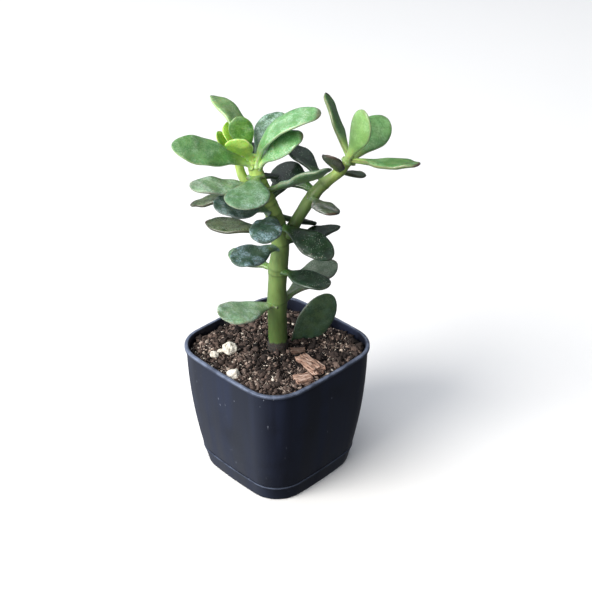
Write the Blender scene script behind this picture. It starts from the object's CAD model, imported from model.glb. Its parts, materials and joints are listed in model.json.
"""The looks of the potted jade plant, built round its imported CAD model.

Metres, +Z up, in the model's own frame. Every leaf, stem, pot wall and stone is rebuilt as a finer mesh
from the CAD solid that it stands for, and the soil gets its grains. Colours are written as 8-bit sRGB.
"""

import json
from collections import namedtuple
from math import copysign, cos, exp, hypot, pi, radians, sin

import bmesh
import bpy
import numpy as np
from mathutils import Matrix, Vector, noise
from mathutils.bvhtree import BVHTree

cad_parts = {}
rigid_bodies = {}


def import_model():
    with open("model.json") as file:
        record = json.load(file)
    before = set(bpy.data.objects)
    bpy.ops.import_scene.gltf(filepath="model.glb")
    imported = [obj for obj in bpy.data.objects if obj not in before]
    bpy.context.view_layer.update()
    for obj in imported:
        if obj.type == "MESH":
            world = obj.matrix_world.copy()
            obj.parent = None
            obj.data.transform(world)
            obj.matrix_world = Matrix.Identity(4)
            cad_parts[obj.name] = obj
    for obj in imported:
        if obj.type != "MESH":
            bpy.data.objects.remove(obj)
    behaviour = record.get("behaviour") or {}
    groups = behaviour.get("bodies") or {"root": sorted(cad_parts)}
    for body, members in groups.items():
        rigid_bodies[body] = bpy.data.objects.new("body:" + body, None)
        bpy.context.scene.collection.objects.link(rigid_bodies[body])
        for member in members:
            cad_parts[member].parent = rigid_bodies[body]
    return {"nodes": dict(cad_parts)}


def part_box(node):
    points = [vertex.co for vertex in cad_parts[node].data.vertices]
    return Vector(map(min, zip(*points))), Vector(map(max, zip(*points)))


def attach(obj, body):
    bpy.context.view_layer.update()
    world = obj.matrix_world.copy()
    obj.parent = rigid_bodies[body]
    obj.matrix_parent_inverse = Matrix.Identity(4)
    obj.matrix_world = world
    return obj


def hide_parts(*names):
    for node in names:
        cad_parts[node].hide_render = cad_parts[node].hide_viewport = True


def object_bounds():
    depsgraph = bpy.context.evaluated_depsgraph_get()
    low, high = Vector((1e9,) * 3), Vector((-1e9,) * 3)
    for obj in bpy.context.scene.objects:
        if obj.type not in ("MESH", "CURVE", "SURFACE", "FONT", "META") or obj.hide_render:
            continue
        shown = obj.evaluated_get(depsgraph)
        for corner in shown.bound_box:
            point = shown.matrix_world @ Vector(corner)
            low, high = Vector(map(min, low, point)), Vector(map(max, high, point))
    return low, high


for startup_object in list(bpy.data.objects):
    bpy.data.objects.remove(startup_object, do_unlink=True)

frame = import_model()
cad_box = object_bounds()

MM = 0.001
WELD = 0.001 * MM
BODY = "root"
SEED = 11

# ---- camera and light ----
CAMERA_AZIMUTH = radians(45.2)
CAMERA_ELEVATION = radians(30.6)
CAMERA_DISTANCE = 0.63
CAMERA_LENS = 63.9  # on a 36 mm sensor
AIM_HEIGHT = 0.045
AIM_RIGHT = 0.011
AIM_UP = 0.0589

RIGHT = Vector((cos(CAMERA_AZIMUTH), sin(CAMERA_AZIMUTH), 0))
FRONT = Vector((sin(CAMERA_AZIMUTH), -cos(CAMERA_AZIMUTH), 0))
UP = Vector((0, 0, 1))

# Each lamp: its place right of, in front of and above the middle of the plant, its width and its watts.
Lamp = namedtuple("Lamp", "name right front up width watts colour")
LAMPS = [
    Lamp("window", -2.1, 1.3, 1.55, 2.0, 118.0, (255, 251, 244)),
    Lamp("fill", -1.1, 2.2, 0.9, 1.6, 22.0, (255, 252, 246)),
    Lamp("skylight", -1.1, -0.5, 2.3, 1.3, 8.0, (250, 252, 255)),
]

# The studio's walls: a dim room, with a soft glow on the window's side and another overhead. Each glow
# fades in between two cosines of the angle from its middle.
Glow = namedtuple("Glow", "middle fades_in full strength")
ROOM_COLOUR = (238, 243, 252)
ROOM_STRENGTH = 0.12
GLOWS = [Glow(-RIGHT, 0.10, 0.75, 0.60), Glow(UP, 0.35, 0.85, 0.50)]
FLOOR_SIZE = 24.0
FLOOR_COLOUR = (246, 246, 246)
FLOOR_LIGHTER = (249, 249, 249)

# ---- pot, in the CAD model's sizes ----
POT_TOP, TRAY_TOP, SOIL_TOP = (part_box(node)[1].z for node in ("pot", "drip_tray", "soil"))
LIP_OUT = 1.1 * MM
LIP_TALL = 2.4 * MM
LIP_FLARE = 0.5 * MM  # height of the curve under the lip
LIP_SIDE_ENDS = 0.7 * MM  # below the top
RIM_ROUND = 0.6 * MM  # height of the round top of a wall
BASE_WIDTH = 73 * MM
RIM_CORNER = 20.5 * MM
BASE_CORNER = 19.5 * MM
SIDE_BULGE = 2.4 * MM
TAPER_POWER = 2.1
WALL = 1.3 * MM
POT_EDGE = 0.25 * MM
POT_FOOT_ROUND = 1.2 * MM
POT_FLOOR = 1.5 * MM
LEDGE_THICK = 1.2 * MM
TRAY_WALL = 1.2 * MM
TRAY_BEAD = 0.3 * MM
TRAY_HEEL = 0.9 * MM
TRAY_FLOOR = 1.4 * MM
SHARP_ANGLE = 50
GAP = 0.3 * MM
CORNER_STEPS = 18
SIDE_STEPS = 22
BODY_STEPS = 40
TRAY_STEPS = 10
RIM_STEPS = 8
LIP_WEAR = 1.0
TRAY_WEAR = 0.30

# ---- leaves ----
CAD_LEAF_SIDES = 10
CAD_UP_SHARE = sin(radians(72))  # a ten-sided ring's height over its circle's
LEAF_AROUND = 44
LEAF_ALONG = 52
LEAF_FULLNESS = 0.85  # under 1, a cross-section is fuller than an ellipse
TIP_CROWDING = 0.9  # under 1, the rings stand closer together towards the tip
STALK_RINGS = 7
STALK_SUNK = 2.4 * MM
STALK_FLARE = 0.75
STALK_FLARE_FADE = 0.55  # per ring
LEAF_CUP = 0.38
CUP_STARTS, CUP_FULL = 0.12, 0.5  # shares of the leaf's length
LEAF_WAVE = 0.14 * MM
WAVES_A_METRE, DIMPLES_A_METRE = 70, 320
DIMPLE_SHARE = 0.3  # of LEAF_WAVE
LEAF_POINT = 0.3 * MM
POINT_STARTS = 0.93

# ---- stems ----
STEM_SLICES = 44
FIRST_SLICE, LAST_SLICE = 0.02, 0.985  # shares of the stem's length
WHOLE_SLICE = 0.55  # of the middle slice's area; the smaller ones are cut off by the parent stem
STEM_SIDES = 40
STEM_RING_GAP = 0.55 * MM
STEM_SMOOTHING = 4
STEM_END_REACH, STEM_END_WIDTH, STEM_TOP_REACH = 0.7, 0.5, 0.8  # in radii
FORK_SUNK = 6 * MM
TWELVE_SIDED = 0.955  # area of a twelve-sided ring over that of its circle
SCAR_REACH = 0.9 * MM
SCAR_TALL = 0.16 * MM
STEM_LUMPS, LUMPS_A_METRE = 0.22 * MM, 150
STEM_RIBS, RIB_COUNT, RIB_TWIST = 0.05 * MM, 6, 25
CORK = 0.55 * MM
CORK_FADES = 6 * MM  # above the soil's highest point
CORK_FULL = 2 * MM
BARK_FADES = 11 * MM
# How far a stem runs on into its parent, what grows from it, and how young its skin is at its foot and top.
Stem = namedtuple("Stem", "sunk leaves youth")
STEMS = {
    "main_stem": Stem(0.0, ("stem_leaf", "crown_leaf"), (0.0, 1.06)),
    "right_branch": Stem(FORK_SUNK, ("branch_leaf", "tip_leaf"), (0.05, 1.12)),
    "side_shoot": Stem(FORK_SUNK, ("shoot_leaf",), (0.9, 1.2)),
}


def srgb(colour):
    """8-bit sRGB as the linear RGBA that a shader takes."""
    shares = [c / 255 for c in colour]
    return (*[c / 12.92 if c <= 0.04045 else ((c + 0.055) / 1.055) ** 2.4 for c in shares], 1.0)


def node_names(*starts):
    return sorted(name for name in frame["nodes"] if name.startswith(starts))


# ---- meshes ----
def new_piece(name, points, faces, values=None, smooth=True):
    """A mesh object. values holds, for each attribute that a material reads, one number a point."""
    mesh = bpy.data.meshes.new(name)
    mesh.from_pydata([tuple(p) for p in points], [], [tuple(int(i) for i in f) for f in faces])
    mesh.validate()
    for attribute, numbers in (values or {}).items():
        made = mesh.attributes.new(attribute, "FLOAT", "POINT")
        made.data.foreach_set("value", np.asarray(numbers, np.float32))
    if smooth:
        mesh.shade_smooth()
    obj = bpy.data.objects.new(name, mesh)
    bpy.context.scene.collection.objects.link(obj)
    return obj


def finish_piece(obj, paint, node=None):
    """Paints the piece, and says what it rides on, what it stands for and where its finish comes from."""
    obj.data.materials.clear()
    obj.data.materials.append(paint)
    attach(obj, BODY)
    if node:
        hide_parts(node)


def closed(name, rings, values, tip=None):
    """A piece through rings of equal count, with its start filled, and its end filled or drawn in to tip."""
    around, points = len(rings[0]), [p for ring in rings for p in ring]
    faces = []
    for low in range(0, len(points) - around, around):
        for i in range(around):
            j = (i + 1) % around
            faces.append((low + i, low + j, low + around + j, low + around + i))
    faces.append(tuple(reversed(range(around))))
    last = range(len(points) - around, len(points))
    if tip is None:
        faces.append(tuple(last))
    else:
        faces += [(last[i], last[(i + 1) % around], len(points)) for i in range(around)]
        points.append(tip)
    piece = new_piece(name, points, faces, values)
    point_outwards(piece)
    return piece


def point_outwards(obj):
    bm = bmesh.new()
    bm.from_mesh(obj.data)
    if bm.calc_volume(signed=True) < 0:
        bmesh.ops.reverse_faces(bm, faces=bm.faces)
        bm.to_mesh(obj.data)
    bm.free()


def welded_arrays(node):
    """(points, triangles) of a CAD node, with the corners that its faces share joined."""
    bm = welded(node)
    points = np.array([v.co for v in bm.verts])
    triangles = np.array([[v.index for v in f.verts] for f in bm.faces])
    bm.free()
    return points, triangles


def welded(node, triangulated=True):
    bm = bmesh.new()
    bm.from_mesh(frame["nodes"][node].data)
    bmesh.ops.remove_doubles(bm, verts=bm.verts, dist=WELD)
    if triangulated:
        bmesh.ops.triangulate(bm, faces=bm.faces)
    bm.verts.index_update()
    return bm


def unit(vectors):
    return vectors / np.linalg.norm(vectors, axis=-1, keepdims=True)


def smoothstep(value, low, high):
    share = np.clip((value - low) / (high - low), 0, 1)
    return share * share * (3 - 2 * share)


# ---- materials ----
# A noise's scale is per metre, so at 1000 its features are about 1 mm across, and the number after it is how
# many finer layers it has. The two numbers in step and over say where an effect starts and where it is full.
class Nodes:
    """Adds shader nodes to a node tree. Each method returns a node or its output."""

    def __init__(self, tree):
        self.tree = tree

    def put(self, socket, value):
        """Links a node's output to the socket, or writes a plain number or colour there."""
        if isinstance(value, bpy.types.NodeSocket):
            self.tree.links.new(value, socket)
        elif isinstance(value, tuple) and socket.type == "RGBA":
            socket.default_value = srgb(value)
        else:
            socket.default_value = value

    def node(self, kind, settings=None, **inputs):
        made = self.tree.nodes.new("ShaderNode" + kind)
        for name, value in (settings or {}).items():
            setattr(made, name, value)
        for name, value in inputs.items():
            self.put(made.inputs[name], value)
        return made

    def place(self, stretch=(1, 1, 1)):
        """The model's own coordinates, in metres, times stretch."""
        where = self.node("TexCoord").outputs["Object"]
        if stretch == (1, 1, 1):
            return where
        return self.node("Mapping", Vector=where, Scale=stretch).outputs["Vector"]

    def value(self, attribute):
        return self.node("Attribute", {"attribute_name": attribute}).outputs["Fac"]

    def noise(self, where, scale, detail):
        made = self.node("TexNoise", Vector=where, Scale=scale, Detail=detail)
        return made.outputs["Fac"]

    def cells(self, where, scale):
        return self.node("TexVoronoi", Vector=where, Scale=scale).outputs["Distance"]

    def step(self, value, low, high, least=0.0, most=1.0):
        """least where value is at low, most where it is at high, and smooth between them."""
        made = self.node("MapRange", {"interpolation_type": "SMOOTHSTEP"}, Value=value)
        for name, number in (("From Min", low), ("From Max", high), ("To Min", least), ("To Max", most)):
            made.inputs[name].default_value = number
        return made.outputs["Result"]

    def calc(self, operation, first, second=0.0):
        made = self.node("Math", {"operation": operation})
        self.put(made.inputs[0], first)
        self.put(made.inputs[1], second)
        return made.outputs["Value"]

    def mix(self, share, first, second):
        made = self.node("Mix", {"data_type": "RGBA"}, Factor=share)
        colours = [socket for socket in made.inputs if socket.type == "RGBA"]
        self.put(colours[0], first)
        self.put(colours[1], second)
        return next(socket for socket in made.outputs if socket.type == "RGBA")


class Paint(Nodes):
    """A procedural material: a Principled shader, and the nodes that build its colour up from a first one."""

    def __init__(self, name, colour, **shader):
        self.colour = colour
        self.material = bpy.data.materials.new(name)
        self.material.use_nodes = True
        super().__init__(self.material.node_tree)
        self.shader = self.tree.nodes["Principled BSDF"]
        for socket, value in shader.items():
            self.shader.inputs[socket.replace("_", " ")].default_value = value
        self.relief = None

    def bump(self, height, depth):
        """Adds relief of that depth, in metres, on top of any relief before it."""
        made = self.node("Bump", Height=height, Distance=depth, Strength=1.0)
        if self.relief:
            self.put(made.inputs["Normal"], self.relief)
        self.relief = made.outputs["Normal"]
        self.put(self.shader.inputs["Normal"], self.relief)

    def ragged(self, value, noise, by):
        """value, pushed up and down by the noise."""
        return self.calc("ADD", value, self.calc("MULTIPLY", self.calc("SUBTRACT", noise, 0.5), by))

    def cover(self, shade, share):
        self.colour = self.mix(share, self.colour, shade)

    def over(self, shade, value, low, high, most=1.0):
        """Paints shade over the colour so far, from nothing where value is at low to most at high."""
        self.cover(shade, self.step(value, low, high, most=most))

    def done(self, roughness=None):
        self.put(self.shader.inputs["Base Color"], self.colour)
        if roughness is not None:
            self.put(self.shader.inputs["Roughness"], roughness)
        return self.material


# blade and mottle are the leaf's two greens, base its colour at the stem, rim its margin and bloom its waxy
# patches. frost is how much those show, specks how clear its mineral spots are, tip how brown its end is,
# rough the roughness of its skin and glow how much light goes through it. leaves lists those that look so.
LeafLook = namedtuple("LeafLook", "blade mottle base rim bloom rim_width frost specks tip rough glow leaves")
LEAF_LOOKS = {
    "lime": LeafLook((152, 194, 66), (116, 172, 50), (206, 236, 132), (214, 236, 160), (206, 228, 160),
        0.07, 0.15, 0.05, 0.0, 0.34, 0.5, "crown_leaf_4_front shoot_leaf_back shoot_leaf_left"),
    "upright": LeafLook((88, 134, 56), (66, 112, 42), (168, 206, 98), (176, 206, 134), (140, 176, 122),
        0.07, 0.3, 0.15, 0.0, 0.34, 0.25, "crown_leaf_4_back"),
    "bright": LeafLook((112, 160, 94), (84, 136, 72), (188, 222, 122), (186, 212, 156), (166, 198, 160),
        0.06, 0.45, 0.3, 0.1, 0.32, 0.2, "crown_leaf_1_left"),
    "edged": LeafLook((104, 146, 80), (76, 122, 60), (188, 222, 122), (126, 118, 92), (150, 182, 140),
        0.07, 0.38, 0.30, 1.0, 0.32, 0.2, "tip_leaf_1_right tip_leaf_1_left"),
    "sunny": LeafLook((134, 170, 104), (104, 146, 82), (192, 222, 126), (190, 214, 162), (184, 206, 172),
        0.06, 0.35, 0.3, 0.2, 0.34, 0.3, "crown_leaf_2_left"),
    "head": LeafLook((112, 162, 96), (90, 138, 76), (192, 226, 128), (190, 216, 158), (164, 198, 150),
        0.06, 0.3, 0.25, 0.3, 0.36, 0.15, "tip_leaf_2_front tip_leaf_2_back"),
    "pale": LeafLook((124, 172, 116), (92, 148, 84), (196, 230, 138), (192, 214, 172), (188, 218, 188),
        0.06, 0.45, 0.4, 0.8, 0.34, 0.2, "crown_leaf_1_right crown_leaf_2_right"),
    "frosted": LeafLook((84, 124, 86), (58, 98, 66), (130, 168, 98), (158, 188, 168), (170, 202, 186),
        0.06, 0.9, 0.7, 0.1, 0.38, 0.1, "crown_leaf_3_back"),
    "misty": LeafLook((146, 178, 140), (116, 150, 112), (132, 168, 92), (160, 156, 142), (196, 216, 202),
        0.05, 0.6, 0.6, 0.3, 0.38, 0.15, "stem_leaf_8_left stem_leaf_1_left"),
    "middle": LeafLook((104, 142, 104), (78, 116, 78), (112, 150, 74), (134, 136, 116), (158, 184, 168),
        0.05, 0.62, 0.6, 0.3, 0.36, 0.1, "stem_leaf_9_front stem_leaf_7_right stem_leaf_2_left"),
    "grey": LeafLook((96, 114, 92), (74, 94, 70), (104, 134, 76), (92, 84, 78), (128, 140, 124),
        0.05, 0.6, 0.5, 0.5, 0.38, 0.1, "stem_leaf_1_right"),
    "dark": LeafLook((32, 58, 34), (18, 38, 22), (78, 116, 56), (70, 84, 70), (52, 74, 62),
        0.05, 0.45, 0.8, 0.2, 0.34, 0.1, ""),
    "slate": LeafLook((70, 98, 84), (46, 72, 60), (88, 128, 76), (126, 146, 136), (136, 162, 170),
        0.06, 1.0, 0.6, 0.2, 0.32, 0.1, "stem_leaf_5_front stem_leaf_3_left"),
    "steel": LeafLook((92, 116, 106), (58, 82, 74), (104, 136, 100), (160, 172, 168), (140, 160, 162),
        0.06, 0.9, 0.6, 0.2, 0.3, 0.1, "stem_leaf_6_left"),
    "olive": LeafLook((86, 102, 68), (48, 66, 38), (104, 134, 68), (66, 56, 50), (118, 130, 112),
        0.08, 0.5, 0.6, 0.95, 0.38, 0.1, "stem_leaf_4_left stem_leaf_7_left branch_leaf_3_right"),
    "aged": LeafLook((56, 54, 44), (38, 36, 34), (92, 116, 76), (50, 44, 42), (92, 94, 92),
        0.08, 0.45, 0.50, 1.0, 0.42, 0.1, "branch_leaf_3_left"),
    "greying": LeafLook((96, 108, 88), (60, 70, 60), (120, 156, 98), (92, 90, 88), (164, 168, 166),
        0.07, 0.95, 0.60, 1.0, 0.38, 0.1, "branch_leaf_1_right"),
    "cutting": LeafLook((78, 102, 70), (60, 84, 60), (72, 96, 68), (134, 146, 130), (88, 116, 106),
        0.04, 0.5, 0.25, 0.0, 0.3, 0.1, "leaf_cutting"),
}
USUAL_LOOK = "dark"  # of the leaves that aren't listed
SPECK_COLOUR = (196, 206, 196)
TIP_COLOUR = (74, 60, 50)
LIGHT_REACH = 2.5 * MM  # how deep light goes into a leaf or a stem


def leaf_paint(name, look):
    skin = {"Subsurface_Weight": look.glow, "Subsurface_Scale": LIGHT_REACH}
    paint = Paint(f"leaf_{name}", look.mottle, **skin, Coat_Weight=0.35, Coat_Roughness=0.16)
    where = paint.place()
    along, across, upper = paint.value("along"), paint.value("across"), paint.value("upper")
    patches = paint.noise(where, 230, 3)
    grain = paint.noise(where, 1150, 4)
    paint.over(look.blade, paint.calc("ADD", patches, grain), 0.86, 1.14)
    paint.over(look.base, upper, 0.1, -0.5, most=0.18)
    paint.over(look.base, along, 0.32, 0.03)
    waxy = paint.step(paint.noise(where, 170, 4), 0.42, 0.62, most=look.frost)
    frost = paint.calc("MULTIPLY", waxy, paint.step(grain, 0.40, 0.60, least=0.25))
    paint.cover(look.bloom, frost)
    dots = paint.step(paint.cells(where, 1050), 0.26, 0.10, most=look.specks)
    spotted = paint.calc("MULTIPLY", dots, paint.step(paint.noise(where, 190, 2), 0.42, 0.58))
    paint.cover(SPECK_COLOUR, spotted)
    margin = paint.ragged(paint.calc("ABSOLUTE", across), paint.noise(where, 420, 3), 0.03)
    paint.over(look.rim, margin, 1.0 - look.rim_width, 1.0, most=0.6)
    paint.over(TIP_COLOUR, along, 0.94, 0.985, most=look.tip)
    paint.bump(patches, 0.09 * MM)
    paint.bump(grain, 0.03 * MM)
    return paint.done(paint.step(frost, 0.0, 0.8, look.rough, look.rough + 0.12))


STEM_BARK = (64, 58, 54)
STEM_COLLAR = (28, 26, 26)
STEM_OLD = (84, 108, 57)
STEM_MIDDLE = (122, 148, 84)
STEM_YOUNG = (186, 216, 116)
STEM_LINE = (58, 82, 36)


def stem_paint():
    paint = Paint("stem_skin", STEM_OLD, Subsurface_Weight=0.15, Subsurface_Scale=LIGHT_REACH)
    where = paint.place()
    drawn = paint.noise(paint.place((1, 1, 0.3)), 520, 4)
    fine = paint.noise(where, 1600, 3)
    young, ring, low = paint.value("young"), paint.value("ring"), paint.value("low")
    paint.over(STEM_MIDDLE, young, 0.15, 0.6)
    paint.over(STEM_YOUNG, young, 0.66, 1.02)
    paint.over(STEM_LINE, drawn, 0.42, 0.72, most=0.28)
    paint.over(STEM_LINE, ring, 0.35, 0.95, most=0.35)
    collar = paint.ragged(low, drawn, 0.7)
    bark = paint.mix(paint.step(fine, 0.35, 0.65), STEM_COLLAR, STEM_BARK)
    paint.over(bark, collar, 0.42, 0.60)
    paint.bump(drawn, 0.14 * MM)
    paint.bump(fine, 0.05 * MM)
    return paint.done(paint.step(low, 0.3, 0.8, 0.42, 0.85))


POT_COLOUR = (24, 26, 36)
POT_STREAK = (31, 36, 54)
POT_DARK = (18, 18, 22)
POT_WORN = (116, 126, 148)
POT_SCUFF = (136, 142, 156)
POT_SHEEN = (0.60, 0.72, 1.0, 1.0)


def pot_paint():
    """Moulded plastic: soft upright streaks, scuffs and dust, and whitened wear where 'edge' is high."""
    paint = Paint("pot_plastic", POT_COLOUR, IOR=1.5, Specular_Tint=POT_SHEEN)
    where = paint.place()
    streaks = paint.noise(paint.place((1, 1, 0.04)), 80, 3)
    haze = paint.noise(where, 38, 3)
    paint.over(POT_STREAK, streaks, 0.35, 0.7)
    paint.over(POT_DARK, haze, 0.45, 0.7, most=0.6)
    nicks = paint.noise(paint.place((1, 1, 0.45)), 520, 1)
    worn = paint.noise(where, 60, 2)
    scuffs = paint.calc("MULTIPLY", paint.step(nicks, 0.72, 0.79), paint.step(worn, 0.50, 0.60, most=0.7))
    paint.cover(POT_SCUFF, scuffs)
    dust = paint.step(paint.cells(where, 1300), 0.13, 0.05, most=0.3)
    paint.cover(POT_SCUFF, paint.calc("MULTIPLY", dust, paint.step(haze, 0.5, 0.6)))
    uneven = paint.step(paint.noise(where, 170, 3), 0.25, 0.75, least=0.25)
    edge = paint.calc("MULTIPLY", paint.value("edge"), uneven)
    paint.cover(POT_WORN, edge)
    paint.bump(streaks, 0.08 * MM)
    paint.bump(paint.noise(where, 2600, 2), 0.012 * MM)
    return paint.done(paint.step(paint.calc("ADD", streaks, scuffs), 0.3, 0.75, 0.28, 0.50))


SOIL_DARK = (17, 15, 16)
# Each colour that the soil turns to as it gets paler, and the tone at which it is reached.
SOIL_TONES = [((50, 43, 41), 0.3), ((106, 90, 83), 0.6), ((176, 158, 146), 0.85), ((230, 220, 206), 1.1)]


def soil_paint():
    """Grains are coloured by their own tone, and every one of them is a little uneven."""
    paint = Paint("soil_mix", SOIL_DARK, Roughness=0.95, Specular_IOR_Level=0.25)
    where = paint.place()
    speckle = paint.noise(where, 1300, 4)
    tone = paint.ragged(paint.value("tone"), speckle, 0.34)
    passed = 0.0
    for shade, reached in SOIL_TONES:
        paint.over(shade, tone, passed, reached)
        passed = reached
    paint.bump(speckle, 0.35 * MM)
    paint.bump(paint.noise(where, 3800, 2), 0.12 * MM)
    return paint.done()


PUMICE_LIGHT = (236, 231, 220)
PUMICE_DARK = (112, 98, 82)


def pumice_paint():
    paint = Paint("pumice", PUMICE_LIGHT, Roughness=0.92, Specular_IOR_Level=0.3)
    where = paint.place()
    pits = paint.cells(where, 950)
    stain = paint.noise(where, 330, 4)
    paint.over(PUMICE_DARK, stain, 0.50, 0.74, most=0.7)
    paint.over(PUMICE_DARK, pits, 0.24, 0.08, most=0.8)
    paint.bump(paint.step(pits, 0.0, 0.35), 0.35 * MM)
    paint.bump(stain, 0.3 * MM)
    return paint.done()


BARK_LIGHT = (206, 182, 168)
BARK_MIDDLE = (158, 126, 110)
BARK_DARK = (58, 42, 37)
BARK_DAMP = (40, 29, 25)
DAMPNESS = {"bark_chip_3": 0.72}  # of the chips that aren't dry


def bark_paint():
    """Long fibres: the noise is drawn out along the chip by its own 'grain' coordinates."""
    paint = Paint("bark", BARK_DARK, Roughness=0.88, Specular_IOR_Level=0.3)
    where = paint.place()
    across, depth = paint.value("grain_across"), paint.value("grain_depth")
    along = paint.calc("MULTIPLY", paint.value("grain_along"), 0.12)
    drawn = paint.node("CombineXYZ", X=across, Y=depth, Z=along)
    fibres = paint.noise(drawn.outputs["Vector"], 1500, 4)
    paint.over(BARK_MIDDLE, fibres, 0.32, 0.52)
    paint.over(BARK_LIGHT, fibres, 0.5, 0.66)
    paint.over(BARK_MIDDLE, paint.noise(where, 280, 3), 0.52, 0.7, most=0.7)
    paint.cover(BARK_DAMP, paint.value("damp"))
    paint.bump(fibres, 0.5 * MM)
    return paint.done()


def floor_paint():
    paint = Paint("floor", FLOOR_COLOUR, Roughness=0.9, Specular_IOR_Level=0.1)
    paint.cover(FLOOR_LIGHTER, paint.noise(paint.place(), 3, 2))
    return paint.done()


# ---- pot and tray ----
def wall_half_width(z):
    """Half the body's width across the flats at height z, outside."""
    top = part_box("pot")[1].x - LIP_OUT
    base = BASE_WIDTH / 2
    return top - (top - base) * max(0.0, 1 - z / POT_TOP) ** TAPER_POWER


def body_ring(z, inset, height=None):
    """The body's outline at height z, taken in by inset, and set at another height if one is given."""
    corner = BASE_CORNER + (RIM_CORNER - BASE_CORNER) * z / POT_TOP - inset
    half = wall_half_width(z) - inset
    flat = half - corner
    side_end = half - SIDE_BULGE * (flat / half) ** 2
    quarter = []
    for step in range(SIDE_STEPS):
        y = -flat + 2 * flat * step / SIDE_STEPS
        quarter.append((half - SIDE_BULGE * (y / half) ** 2, y))
    for step in range(CORNER_STEPS):
        angle = pi / 2 * step / CORNER_STEPS
        y = flat + (side_end - flat) * sin(angle)
        quarter.append((side_end - corner + corner * cos(angle), y))
    level = z if height is None else height
    turns = [Matrix.Rotation(turn * pi / 2, 3, "Z") for turn in range(4)]
    return [turn @ Vector((x, y, level)) for turn in turns for x, y in quarter]


def between(first, last, steps):
    """steps numbers, evenly spaced, that start one step after first and end on last."""
    return [first + (last - first) * step / steps for step in range(1, steps + 1)]


def rounded_rim(z, outer, inner):
    """Rings over the top of a wall, from its outside at inset outer to its inside at inset inner."""
    rings = []
    for angle in [0.0, *between(0, pi, RIM_STEPS)]:
        inset = (outer + inner) / 2 - (inner - outer) / 2 * cos(angle)
        rings.append(body_ring(z, inset, z - RIM_ROUND + RIM_ROUND * sin(angle)))
    return rings


def moulded(node, rings, worn_from, worn_to, wear, paint):
    """A piece of the pot, whose rings from worn_from up to worn_to are rubbed pale by that much."""
    edge = [wear if worn_from <= number < worn_to else 0.0 for number in range(len(rings))]
    piece = closed(f"fine_{node}", rings, {"edge": np.repeat(edge, len(rings[0]))})
    piece.data.set_sharp_from_angle(angle=radians(SHARP_ANGLE))
    finish_piece(piece, paint, node)


def make_pot(paint):
    """The pot's skin, from under its foot, up its outside, over the lip and down its inside to the floor."""
    low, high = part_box("pot")
    shoulder = TRAY_TOP + GAP
    plug = TRAY_WALL + GAP
    body_low, body_high = shoulder + POT_EDGE, high.z - LIP_TALL
    rings = [body_ring(low.z, plug + POT_FOOT_ROUND), body_ring(low.z, plug, low.z + POT_FOOT_ROUND)]
    rings += [body_ring(shoulder, plug), body_ring(shoulder, POT_EDGE), body_ring(shoulder, 0, body_low)]
    rings += [body_ring(z, 0) for z in between(body_low, body_high, BODY_STEPS)]
    for angle in between(0, pi / 2, 6):
        height = body_high + LIP_FLARE * (1 - cos(angle))
        rings.append(body_ring(height, -LIP_OUT * sin(angle)))
    lip_start = len(rings)
    rings.append(body_ring(high.z - LIP_SIDE_ENDS, -LIP_OUT))
    rings += rounded_rim(high.z, -LIP_OUT, WALL)
    lip_end = len(rings) - 3
    inside_high, inside_low = high.z - 1 * MM, shoulder + 1.5 * MM
    rings += [body_ring(z, WALL) for z in between(inside_high, inside_low, BODY_STEPS // 2)]
    floor = low.z + POT_FLOOR
    rings += [body_ring(shoulder - LEDGE_THICK, plug + WALL), body_ring(floor + POT_FLOOR, plug + WALL)]
    rings.append(body_ring(floor, plug + WALL + POT_FLOOR))
    moulded("pot", rings, lip_start, lip_end, LIP_WEAR, paint)


def make_tray(paint):
    low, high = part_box("drip_tray")
    rings = [body_ring(low.z, TRAY_HEEL)]
    for angle in between(0, pi / 2, 5):
        height = low.z + TRAY_HEEL * (1 - cos(angle))
        rings.append(body_ring(height, TRAY_HEEL * (1 - sin(angle))))
    rings += [body_ring(z, 0) for z in between(low.z + TRAY_HEEL, high.z - 1 * MM, TRAY_STEPS)]
    rim_start = len(rings)
    rings += rounded_rim(high.z, -TRAY_BEAD, TRAY_WALL)
    rim_end = rim_start + 5
    floor = low.z + TRAY_FLOOR
    rings += [body_ring(floor + TRAY_WALL, TRAY_WALL), body_ring(floor, 2 * TRAY_WALL)]
    moulded("drip_tray", rings, rim_start, rim_end, TRAY_WEAR, paint)


# ---- leaves ----
def leaf_rings(node, foot):
    """The CAD leaf's rings of points, from the end nearest foot to its tip. Each end is a single point."""
    bm = welded(node, triangulated=False)
    ends = [v for v in bm.verts if len(v.link_edges) == CAD_LEAF_SIDES]
    start = min(ends, key=lambda v: (v.co - foot).length)
    seen, ring, rings = {start}, [start], []
    while ring:
        rings.append(np.array([v.co for v in ring]))
        around = {edge.other_vert(v) for v in ring for edge in v.link_edges} - seen
        ring = sorted(around, key=lambda v: v.index)
        seen.update(ring)
    bm.free()
    return rings


def leaf_sections(rings):
    """Each ring's centre, side, face normal, half width, and heights above and below its centre."""
    centres, sides, widths = [], [], []
    for ring in rings:
        gaps = np.linalg.norm(ring[:, None] - ring[None], axis=2)
        i, j = np.unravel_index(gaps.argmax(), gaps.shape)
        centres.append((ring[i] + ring[j]) / 2)
        sides.append(ring[i] - ring[j])
        widths.append(gaps[i, j] / 2)
    centres = np.array(centres)
    ahead = unit(np.gradient(centres, axis=0))
    sides[0], sides[-1] = sides[1], sides[-2]
    middle = len(rings) // 2
    rows = []
    for i, ring in enumerate(rings):
        side = sides[i] if sides[i] @ sides[middle] > 0 else -sides[i]
        normal = unit(np.cross(ahead[i], side))
        heights = (ring - centres[i]) @ normal / CAD_UP_SHARE
        rows.append([*centres[i], *unit(side), *normal, widths[i], heights.max(), -heights.min()])
    rows = np.array(rows)
    if rows[middle, 10] > rows[middle, 11]:  # the thinner side is the leaf's upper face
        rows[:, 3:9] *= -1
        rows[:, [10, 11]] = rows[:, [11, 10]]
    return rows


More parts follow.
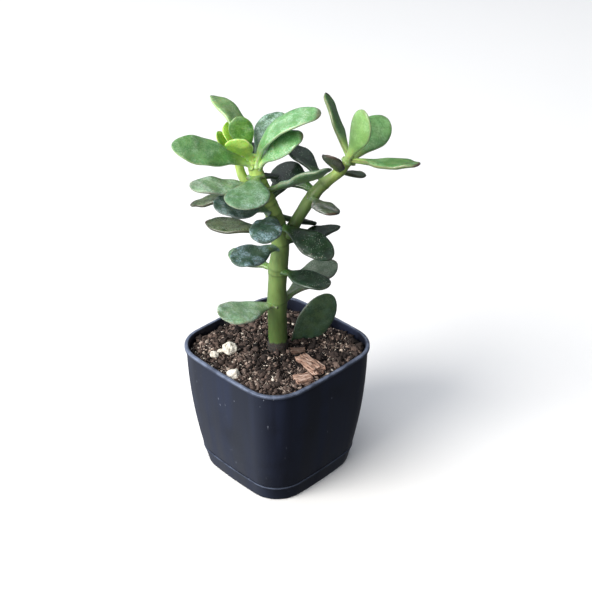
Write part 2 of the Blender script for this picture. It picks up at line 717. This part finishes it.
def leaf_section_at(rows, place):
    """The section at a place between rings, by a Catmull-Rom curve that rounds both ends off."""
    flip = np.array([1] * 9 + [-1] * 3)
    padded = np.vstack([rows[1] * flip, rows, rows[-2] * flip])
    i = min(int(place), len(rows) - 2)
    t = place - i
    a, b, c, d = padded[i : i + 4]
    return 0.5 * (2 * b + (c - a) * t + (2 * a - 5 * b + 4 * c - d) * t**2 + (3 * b - a - 3 * c + d) * t**3)


def leaf_stalk(rows):
    """Sections from inside the stem out to the leaf's first full ring."""
    first, foot = rows[1], rows[0]
    ahead = unit(first[:3] - foot[:3])
    sections = []
    for step in range(STALK_RINGS):
        back = STALK_SUNK * (1 - step / STALK_RINGS)
        section = first.copy()
        section[:3] = foot[:3] - ahead * back + (first[:3] - foot[:3]) * step / STALK_RINGS
        section[9:] *= 1 + STALK_FLARE * exp(-step * STALK_FLARE_FADE)
        sections.append(section)
    return sections


AROUND_COS = [cos(2 * pi * i / LEAF_AROUND) for i in range(LEAF_AROUND)]
AROUND_SIN = [sin(2 * pi * i / LEAF_AROUND) for i in range(LEAF_AROUND)]


def leaf_ring(section, share, width, tip_ahead, offset):
    """The points round a section that lies that share of the way along a leaf."""
    centre, side, normal = section[:3], unit(section[3:6]), unit(section[6:9])
    half, above, below = section[9:]
    cup = LEAF_CUP * smoothstep(share, CUP_STARTS, CUP_FULL)
    drawn_out = tip_ahead * LEAF_POINT * smoothstep(share, POINT_STARTS, 1.0) ** 2
    points = []
    for c, s in zip(AROUND_COS, AROUND_SIN, strict=True):
        lift = copysign(abs(s) ** LEAF_FULLNESS, s)
        height = lift * (above if s > 0 else below)
        if s > 0:
            height -= above * cup * (1 - c * c) ** 2
        point = centre + side * half * c + normal * height + drawn_out
        wave = noise.noise(Vector(point) * WAVES_A_METRE + offset) * LEAF_WAVE
        wave *= min(1.0, half / width + 0.2)
        dimple = noise.noise(Vector(point) * DIMPLES_A_METRE + offset) * LEAF_WAVE * DIMPLE_SHARE
        points.append(point + normal * (wave + dimple) + side * wave * 0.5 * c)
    return points


def make_leaf(node, foot, paint, rng):
    rows = leaf_sections(leaf_rings(node, foot))
    steps = [(step / LEAF_ALONG) ** TIP_CROWDING for step in range(LEAF_ALONG)]
    blade = [leaf_section_at(rows, 1 + (len(rows) - 2) * step) for step in steps]
    first, last = rows[0, :3], rows[-1, :3]
    length = np.linalg.norm(last - first)
    reached = [min(1.0, np.linalg.norm(section[:3] - first) / length) for section in blade]
    shares = [0.0] * STALK_RINGS + reached
    width, tip_ahead = rows[:, 9].max(), unit(last - rows[-3, :3])
    offset = Vector(rng.uniform(-9, 9, 3))
    sections = zip(leaf_stalk(rows) + blade, shares, strict=True)
    rings = [leaf_ring(*section, width, tip_ahead, offset) for section in sections]
    values = {
        "along": [*np.repeat(shares, LEAF_AROUND), 1.0],
        "across": [*AROUND_COS * len(rings), 0.0],
        "upper": [*AROUND_SIN * len(rings), 0.0],
    }
    leaf = closed(f"fine_{node}", rings, values, last + tip_ahead * LEAF_POINT)
    finish_piece(leaf, paint, node)


def make_leaves(stem_lines):
    rng = np.random.default_rng(SEED)
    paints = {name: leaf_paint(name, look) for name, look in LEAF_LOOKS.items()}
    looks = {leaf: name for name, look in LEAF_LOOKS.items() for leaf in look.leaves.split()}
    for node in node_names("stem_leaf", "branch_leaf", "crown_leaf", "tip_leaf", "shoot_leaf"):
        foot = nearest_stem_point(node, stem_lines)
        make_leaf(node, foot, paints[looks.get(node, USUAL_LOOK)], rng)
    low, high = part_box("leaf_cutting")
    foot = Vector((*((low + high) / 2).xy, low.z))
    make_leaf("leaf_cutting", foot, paints["cutting"], rng)


def nearest_stem_point(node, stem_lines):
    """The point of the stems' centrelines that the CAD leaf comes closest to."""
    line = np.vstack(stem_lines)[:, :3]
    points, _ = welded_arrays(node)
    gaps = np.linalg.norm(points[:, None] - line[None], axis=2)
    return Vector(line[np.unravel_index(gaps.argmin(), gaps.shape)[1]])


# ---- stems ----
def cross_section(points, triangles, origin, direction, basis):
    """(centre, area) of a solid where a plane cuts it."""
    depth = (points - origin) @ direction
    corners, depths = points[triangles], depth[triangles]
    crossing = (depths.min(1) < 0) & (depths.max(1) >= 0)
    corners, depths = corners[crossing], depths[crossing]
    ends = []
    for one, two in ((0, 1), (1, 2), (2, 0)):
        a, b = depths[:, one], depths[:, two]
        cut = (a < 0) != (b < 0)
        share = np.where(cut, a / np.where(cut, a - b, 1), 0)
        ends.append((cut, corners[:, one] + (corners[:, two] - corners[:, one]) * share[:, None]))
    cuts = np.array([cut for cut, _ in ends])
    places = np.array([place for _, place in ends])
    which = np.argsort(~cuts, axis=0, kind="stable")[:2]
    rows = np.arange(len(corners))
    start, end = places[which[0], rows], places[which[1], rows]
    normals = np.cross(corners[:, 1] - corners[:, 0], corners[:, 2] - corners[:, 0])
    turned = ((end - start) * np.cross(direction, normals)).sum(1) < 0
    start[turned], end[turned] = end[turned], start[turned].copy()
    flat_start, flat_end = (start - origin) @ basis.T, (end - origin) @ basis.T
    swept = flat_start[:, 0] * flat_end[:, 1] - flat_start[:, 1] * flat_end[:, 0]
    area = swept.sum() / 2
    centre = ((flat_start + flat_end) * swept[:, None]).sum(0) / (6 * area)
    return origin + centre @ basis, abs(area)


def stem_line(node, sunk=0.0):
    """Rows of (x, y, z, radius) along a CAD stem. sunk carries it on backwards, into its parent."""
    points, triangles = welded_arrays(node)
    middle = points.mean(0)
    direction = np.linalg.svd(points - middle, full_matrices=False)[2][0]
    direction *= copysign(1, direction[2])
    across = unit(np.cross(direction, RIGHT))
    basis = np.array([across, np.cross(direction, across)])
    depth = (points - middle) @ direction
    rows = []
    for share in np.linspace(FIRST_SLICE, LAST_SLICE, STEM_SLICES):
        origin = middle + direction * (depth.min() + (depth.max() - depth.min()) * share)
        centre, area = cross_section(points, triangles, origin, direction, basis)
        rows.append([*centre, area])
    rows = np.array(rows)
    if sunk:
        whole = rows[:, 3] > WHOLE_SLICE * np.median(rows[:, 3])
        rows = rows[np.argmax(whole) + 3 :]
    ahead = unit(np.gradient(rows[:, :3], axis=0))
    rows[:, 3] = np.sqrt(rows[:, 3] * (ahead @ direction) / (pi * TWELVE_SIDED))
    end = rows[-1].copy()
    end[:3] += ahead[-1] * end[3] * STEM_END_REACH
    end[3] *= STEM_END_WIDTH
    if sunk:
        root = rows[0].copy()
        root[:3] -= ahead[0] * sunk
        rows = np.vstack([root, rows])
    return np.vstack([rows, end])


def resampled(rows, gap):
    """The line with a row every gap, and the distance of each row from its start."""
    steps = np.linalg.norm(np.diff(rows[:, :3], axis=0), axis=1)
    distance = np.concatenate([[0], np.cumsum(steps)])
    places = np.linspace(0, distance[-1], int(distance[-1] / gap) + 1)
    fine = np.array([np.interp(places, distance, rows[:, k]) for k in range(4)]).T
    for _ in range(STEM_SMOOTHING):
        fine[1:-1] = (fine[:-2] + 2 * fine[1:-1] + fine[2:]) / 4
    return fine, places


def stem_ring(row, share, near, side, face, corked):
    """The points round a stem. near is 1 at a leaf's foot and 0 away from any."""
    points = []
    cork = CORK * smoothstep(SOIL_TOP - row[2], -CORK_FADES, -CORK_FULL) if corked else 0.0
    for i in range(STEM_SIDES):
        angle = 2 * pi * i / STEM_SIDES
        around = side * cos(angle) + face * sin(angle)
        lumps = noise.noise(Vector(row[:3] + around * row[3]) * LUMPS_A_METRE) * STEM_LUMPS
        ribs = STEM_RIBS * cos(RIB_COUNT * angle + RIB_TWIST * share)
        corky = cork * (1 + noise.noise(Vector(around * 3)))
        points.append(row[:3] + around * (row[3] + lumps + ribs + near * SCAR_TALL + corky))
    return points


def make_stem(node, rows, paint, joints):
    """A tube along the stem, ringed where leaves grow. The main stem is corky where it meets the soil."""
    fine, places = resampled(rows, STEM_RING_GAP)
    ahead = unit(np.gradient(fine[:, :3], axis=0))
    side = unit(np.cross(ahead, RIGHT.cross(UP)))
    face = np.cross(ahead, side)
    gaps = np.array([np.linalg.norm(fine[:, :3] - joint, axis=1) for joint in joints])
    along_axis = np.sqrt(np.maximum(gaps**2 - gaps.min(1, keepdims=True) ** 2, 0))
    near = np.exp(-((along_axis / SCAR_REACH) ** 2)).max(0)
    shares = places / places[-1]
    corked = node == "main_stem"
    rings = [stem_ring(*row, corked) for row in zip(fine, shares, near, side, face, strict=True)]
    buried = smoothstep(SOIL_TOP - fine[:, 2], -BARK_FADES, 0.0) * corked
    foot, top = STEMS[node].youth
    values = {
        "young": [*np.repeat(foot + (top - foot) * shares, STEM_SIDES), top],
        "ring": [*np.repeat(near, STEM_SIDES), 0.0],
        "low": [*np.repeat(buried, STEM_SIDES), 0.0],
    }
    tip = fine[-1, :3] + ahead[-1] * fine[-1, 3] * STEM_TOP_REACH
    finish_piece(closed(f"fine_{node}", rings, values, tip), paint, node)


def make_stems():
    lines = {node: stem_line(node, stem.sunk) for node, stem in STEMS.items()}
    paint = stem_paint()
    for node, rows in lines.items():
        leaves = node_names(*STEMS[node].leaves)
        make_stem(node, rows, paint, [nearest_stem_point(leaf, [rows]) for leaf in leaves])
    return list(lines.values())


# ---- soil ----
class Ground:
    """The height of the soil's surface, read from its CAD solid, with the pockets in it filled."""

    PITCH = 1.5 * MM
    DEEPEST = 7 * MM  # a hit further below the soil's top is in a pocket

    def __init__(self):
        low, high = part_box("soil")
        points, triangles = welded_arrays("soil")
        tree = BVHTree.FromPolygons([Vector(p) for p in points], triangles.tolist())
        self.start = low.x
        count = int((high.x - low.x) / self.PITCH) + 2
        heights = np.full((count, count), np.nan)
        for i in range(count):
            for j in range(count):
                above = Vector((low.x + i * self.PITCH, low.x + j * self.PITCH, 2 * high.z))
                hit = tree.ray_cast(above, -UP)[0]
                if hit is not None and hit.z > high.z - self.DEEPEST:
                    heights[i, j] = hit.z
        self.heights = self.filled(heights)

    @staticmethod
    def filled(heights):
        """Unknown heights become the average of the known ones beside them, outwards ring by ring."""
        while np.isnan(heights).any():
            padded = np.pad(heights, 1, constant_values=np.nan)
            beside = np.array([padded[:-2, 1:-1], padded[2:, 1:-1], padded[1:-1, :-2], padded[1:-1, 2:]])
            known = ~np.isnan(beside)
            total = np.where(known, beside, 0).sum(0)
            found = np.isnan(heights) & known.any(0)
            heights[found] = (total / np.maximum(known.sum(0), 1))[found]
        return heights

    def at(self, x, y):
        column, row = (np.asarray(x) - self.start) / self.PITCH, (np.asarray(y) - self.start) / self.PITCH
        most = len(self.heights) - 1.001
        column, row = np.clip(column, 0, most), np.clip(row, 0, most)
        i, j = column.astype(int), row.astype(int)
        u, v = column - i, row - j
        grid = self.heights
        low = grid[i, j] * (1 - u) + grid[i + 1, j] * u
        high = grid[i, j + 1] * (1 - u) + grid[i + 1, j + 1] * u
        return low * (1 - v) + high * v


SOIL_RINGS = 84
SOIL_EDGE_DROP = 0.6 * MM
SOIL_FOOT_ROUND = 1.6 * MM
SOIL_SIDE_STEPS = 8
SOIL_SIDE_STARTS = 2.3 * MM  # above the tray's rim
SOIL_SIDE_ENDS = 8 * MM  # about that far below the soil's highest point
SOIL_SIDE_TONE = 0.2
HOLLOW_TONE = 0.6  # the tone of the ground between the grains, over theirs
LUMP_TONE = 0.12  # paler per millimetre of height
LUMP_SIZES = ((8.0 * MM, 1.5 * MM), (3.4 * MM, 1.1 * MM), (1.3 * MM, 0.4 * MM))


def soil_lumps(x, y):
    return sum(noise.noise(Vector((x, y, 3 * size)) / size) * tall for size, tall in LUMP_SIZES)


def make_soil(paint, ground):
    """The soil's body: a lumpy top with grown-in dark hollows, and plain sides inside the pot."""
    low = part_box("soil")[0]
    inset = WALL + GAP
    plug = TRAY_WALL + GAP + inset
    edge = body_ring(SOIL_TOP, inset)
    stem = stem_at_soil()
    rings = [body_ring(low.z, plug + SOIL_FOOT_ROUND), body_ring(low.z + SOIL_FOOT_ROUND, plug)]
    rings.append(body_ring(TRAY_TOP - LEDGE_THICK, plug))
    for step in range(SOIL_SIDE_STEPS):
        up = (SOIL_TOP - SOIL_SIDE_ENDS - TRAY_TOP) * step / SOIL_SIDE_STEPS
        rings.append(body_ring(TRAY_TOP + SOIL_SIDE_STARTS + up, inset))
    tones = [SOIL_SIDE_TONE] * (len(rings) * len(edge))
    for ring in range(SOIL_RINGS):
        share = 1 - ring / SOIL_RINGS
        row = []
        for p in edge:
            x, y = p.x * share, p.y * share
            lump = soil_lumps(x, y)
            row.append(Vector((x, y, float(ground.at(x, y)) + lump - SOIL_EDGE_DROP)))
            tones.append(soil_tone(x, y, stem) * HOLLOW_TONE + lump / MM * LUMP_TONE)
        rings.append(row)
    finish_piece(closed("fine_soil", rings, {"tone": tones}), paint, "soil")


def stem_at_soil():
    """The middle of the main stem where it leaves the soil."""
    points, _ = welded_arrays("main_stem")
    return points[np.abs(points[:, 2] - SOIL_TOP) < 6 * MM].mean(0)


SOIL_DARKEST = 0.16
DRY_TONE, DRY_STARTS, DRY_FULL = 0.18, 8 * MM, 34 * MM  # away from the stem
LEFT_TONE, FRONT_TONE = 0.09, 0.05
PATCH_TONE, PATCH_SIZE = 0.16, 12 * MM


def soil_tone(x, y, stem):
    """0 is damp and dark, 1 is pale. It is darkest round the stem and paler at the left and the front."""
    dry = smoothstep(hypot(x - stem[0], y - stem[1]), DRY_STARTS, DRY_FULL)
    left = smoothstep(-(x * RIGHT.x + y * RIGHT.y), -30 * MM, 25 * MM)
    front = smoothstep(x * FRONT.x + y * FRONT.y, 0, 40 * MM)
    patchy = noise.noise(Vector((x, y, 0)) / PATCH_SIZE) * PATCH_TONE
    return float(SOIL_DARKEST + DRY_TONE * dry + (LEFT_TONE * left + FRONT_TONE * front) + patchy)


# small and large are widths in mm. long and flat are length and height over width. sunk is the share of the
# height in the ground, pale how much paler than the soil it is, spread how much that varies.
Grain = namedtuple("Grain", "name count small large long flat sunk pale spread detail")
GRAINS = [
    Grain("soil_clods", 300, 2.4, 5.6, 1.25, 0.75, 0.42, 0.0, 0.12, 2),
    Grain("soil_crumbs", 2300, 1.0, 2.6, 1.35, 0.75, 0.30, 0.04, 0.24, 2),
    Grain("soil_grit", 7500, 0.4, 1.1, 1.4, 0.75, 0.20, 0.06, 0.40, 1),
    Grain("soil_fibres", 420, 0.3, 0.7, 8.0, 0.7, 0.10, 0.22, 0.28, 2),
    Grain("soil_flakes", 650, 1.0, 3.2, 1.7, 0.25, 0.12, 0.16, 0.26, 1),
    Grain("soil_perlite", 300, 0.6, 1.7, 1.2, 0.85, 0.25, 0.75, 0.18, 2),
]
GRAIN_SHAPES = 12
COARSE_WEAR, FINE_WEAR = (0.95, 2.4), (0.5, 5.5)  # depth, and how many lumps it makes
SPOTS_A_GRAIN = 4  # tried, because some fall outside the pot or on the stem
SMALL_BIAS = (1.2, 2.6)  # of the beta distribution that sizes come from
WALL_OVERLAP = 1.6 * MM  # a long grain may come this close to the soil's edge
STEM_CLEARANCE = 5.6 * MM
LYING, TUMBLED = 0.72, 0.1  # how flat grains lie


def grain_shapes(detail, rng):
    """A few unit lumps, each a differently worn ball: the points of each, and the faces they share."""
    shapes = []
    for _ in range(GRAIN_SHAPES):
        bm = bmesh.new()
        bmesh.ops.create_icosphere(bm, subdivisions=detail, radius=0.5)
        offset = Vector(rng.uniform(-50, 50, 3))
        points = []
        for v in bm.verts:
            wear = [depth * noise.noise(v.co * lumps + offset) for depth, lumps in (COARSE_WEAR, FINE_WEAR)]
            points.append(v.co * (1 + sum(wear)))
        faces = np.array([[v.index for v in f.verts] for f in bm.faces])
        bm.free()
        shapes.append(np.array(points))
    return shapes, faces


def random_turns(count, rng, upright):
    """Rotation matrices: any heading, and a tilt that grows as upright falls from 1."""
    heading = rng.uniform(0, 2 * pi, count)
    tilt = rng.normal(0, 1 - upright, count)
    roll = rng.normal(0, 1 - upright, count)
    matrices = []
    for h, t, r in zip(heading, tilt, roll, strict=True):
        turn = Matrix.Rotation(h, 3, "Z") @ Matrix.Rotation(t, 3, "Y") @ Matrix.Rotation(r, 3, "X")
        matrices.append(np.array(turn))
    return np.array(matrices)


def grain_spots(grain, ground_edge, stem, rng):
    """Where the grains of a kind lie, and their widths: inside the pot and clear of the stem."""
    angle, reach = np.arctan2(ground_edge[:, 1], ground_edge[:, 0]), np.hypot(*ground_edge[:, :2].T)
    order = np.argsort(angle)
    half = ground_edge[:, 0].max()
    spots = rng.uniform(-half, half, (SPOTS_A_GRAIN * grain.count, 2))
    sizes = grain.small + (grain.large - grain.small) * rng.beta(*SMALL_BIAS, len(spots))
    spot_angle = np.arctan2(spots[:, 1], spots[:, 0])
    room = np.interp(spot_angle, angle[order], reach[order], period=2 * pi)
    half_length = sizes * MM * grain.long / 2
    inside = np.hypot(*spots.T) < room - np.minimum(half_length, WALL_OVERLAP)
    clear = np.hypot(spots[:, 0] - stem[0], spots[:, 1] - stem[1]) > STEM_CLEARANCE
    chosen = np.flatnonzero(inside & clear)[: grain.count]
    return spots[chosen], sizes[chosen] * MM


def make_grains(grain, paint, ground, rng):
    """One piece that holds every grain of a kind, scattered over the soil."""
    stem = stem_at_soil()
    edge = np.array(body_ring(SOIL_TOP, WALL + GAP))
    spots, sizes = grain_spots(grain, edge, stem, rng)
    count = len(spots)
    lies_flat = grain.long > 3 or grain.flat < 0.5
    turns = random_turns(count, rng, LYING if lies_flat else TUMBLED)
    stretch = np.stack([sizes * grain.long, sizes, sizes * grain.flat], 1)
    tones = np.array([soil_tone(x, y, stem) for x, y in spots]) + grain.pale
    tones += rng.normal(0, grain.spread, count)
    lumps = np.array([soil_lumps(x, y) for x, y in spots])
    height = ground.at(*spots.T) + lumps - SOIL_EDGE_DROP + sizes * grain.flat * (0.5 - grain.sunk)
    centres = np.column_stack([spots, height])
    shapes, faces = grain_shapes(grain.detail, rng)
    kinds = rng.integers(0, GRAIN_SHAPES, count)
    placed = zip(kinds, stretch, turns, centres, strict=True)
    points = np.array([(shapes[kind] * size) @ turn.T + centre for kind, size, turn, centre in placed])
    per_grain = points.shape[1]
    all_faces = (faces[None] + np.arange(count)[:, None, None] * per_grain).reshape(-1, 3)
    values = {"tone": np.repeat(tones, per_grain)}
    piece = new_piece(grain.name, points.reshape(-1, 3), all_faces, values, smooth=grain.detail > 1)
    finish_piece(piece, paint)


# ---- stones and bark ----
PUMICE_CUTS, BARK_CUTS = 4, 7  # how finely an edge of the CAD mesh is divided
FIBRE_STRETCH = 0.14  # the fibres are drawn out along the chip by one over this


def worn_copy(node, cuts, relief):
    """A finer copy of a CAD node, smoothed and then given relief, which is a function of the place."""
    bm = welded(node)
    bmesh.ops.subdivide_edges(bm, edges=bm.edges, cuts=cuts, use_grid_fill=True)
    bmesh.ops.triangulate(bm, faces=bm.faces)
    axes = {"use_axis_x": True, "use_axis_y": True, "use_axis_z": True}
    for _ in range(3):
        bmesh.ops.smooth_vert(bm, verts=bm.verts, factor=0.5, **axes)
    bm.normal_update()
    moved = [v.co + v.normal * relief(v.co) for v in bm.verts]
    for v, place in zip(bm.verts, moved, strict=True):
        v.co = place
    points = [v.co.copy() for v in bm.verts]
    faces = [[v.index for v in f.verts] for f in bm.faces]
    bm.free()
    return points, faces


def make_pumice(paint):
    def relief(point):
        lumps = noise.noise(point / (2.2 * MM)) * 0.55 * MM
        pits = max(0.0, noise.noise(point / (0.8 * MM)) - 0.1) * -0.7 * MM
        return lumps + pits

    for node in node_names("pumice"):
        points, faces = worn_copy(node, PUMICE_CUTS, relief)
        finish_piece(new_piece(f"fine_{node}", points, faces), paint, node)


def make_bark(paint):
    for node in node_names("bark_chip"):
        cad_points, _ = welded_arrays(node)
        middle = cad_points.mean(0)
        axes = np.linalg.svd(cad_points - middle, full_matrices=False)[2]
        along, across, depth = (Vector(axis) for axis in axes)

        def relief(point, along=along, across=across, depth=depth):
            drawn = Vector((point.dot(along) * FIBRE_STRETCH, point.dot(across), point.dot(depth)))
            fibres = noise.noise(drawn / (0.9 * MM)) * 0.38 * MM
            return fibres + noise.noise(point / (2.6 * MM)) * 0.3 * MM

        points, faces = worn_copy(node, BARK_CUTS, relief)
        values = {
            "grain_along": [p.dot(along) for p in points],
            "grain_across": [p.dot(across) for p in points],
            "grain_depth": [p.dot(depth) for p in points],
            "damp": [DAMPNESS.get(node, 0.0)] * len(points),
        }
        finish_piece(new_piece(f"fine_{node}", points, faces, values), paint, node)


# ---- studio ----
def make_camera():
    back = FRONT * cos(CAMERA_ELEVATION) + UP * sin(CAMERA_ELEVATION)
    aim = UP * AIM_HEIGHT + RIGHT * AIM_RIGHT + back.cross(RIGHT) * AIM_UP
    camera = bpy.data.objects.new("camera", bpy.data.cameras.new("camera"))
    camera.data.lens = CAMERA_LENS
    camera.data.clip_start = 0.01
    camera.location = aim + back * CAMERA_DISTANCE
    camera.rotation_euler = (pi / 2 - CAMERA_ELEVATION, 0, CAMERA_AZIMUTH)
    bpy.context.scene.collection.objects.link(camera)
    bpy.context.scene.camera = camera


def make_studio():
    middle = (cad_box[0] + cad_box[1]) / 2
    for lamp in LAMPS:
        light = bpy.data.lights.new(lamp.name, "AREA")
        light.shape = "DISK"
        light.size = lamp.width
        light.energy = lamp.watts
        light.color = srgb(lamp.colour)[:3]
        obj = bpy.data.objects.new(lamp.name, light)
        obj.location = middle + RIGHT * lamp.right + FRONT * lamp.front + UP * lamp.up
        obj.rotation_euler = (obj.location - middle).to_track_quat("Z", "Y").to_euler()
        bpy.context.scene.collection.objects.link(obj)
    light_room()
    bpy.context.scene.view_settings.view_transform = "Standard"
    bpy.ops.mesh.primitive_plane_add(size=FLOOR_SIZE, location=(0, 0, cad_box[0].z - 0.1 * MM))
    floor = bpy.context.object
    floor.name = "floor"
    floor.data.materials.append(floor_paint())
    floor.visible_diffuse = False  # so that the dark pot doesn't turn grey with the white floor's light
    floor.visible_glossy = False


def light_room():
    world = bpy.context.scene.world or bpy.data.worlds.new("studio")
    bpy.context.scene.world = world
    world.use_nodes = True
    nodes = Nodes(world.node_tree)
    looking = nodes.node("TexCoord").outputs["Generated"]
    strength = ROOM_STRENGTH
    for glow in GLOWS:
        towards = nodes.node("VectorMath", {"operation": "DOT_PRODUCT"})
        nodes.put(towards.inputs[0], looking)
        towards.inputs[1].default_value = glow.middle
        share = nodes.step(towards.outputs["Value"], glow.fades_in, glow.full, most=glow.strength)
        strength = nodes.calc("ADD", share, strength)
    sky = world.node_tree.nodes["Background"]
    sky.inputs["Color"].default_value = srgb(ROOM_COLOUR)
    nodes.put(sky.inputs["Strength"], strength)


def main():
    make_camera()
    make_studio()
    plastic, soil = pot_paint(), soil_paint()
    make_pot(plastic)
    make_tray(plastic)
    make_leaves(make_stems())
    ground = Ground()
    make_soil(soil, ground)
    rng = np.random.default_rng(SEED)
    for grain in GRAINS:
        make_grains(grain, soil, ground, rng)
    make_pumice(pumice_paint())
    make_bark(bark_paint())


main()
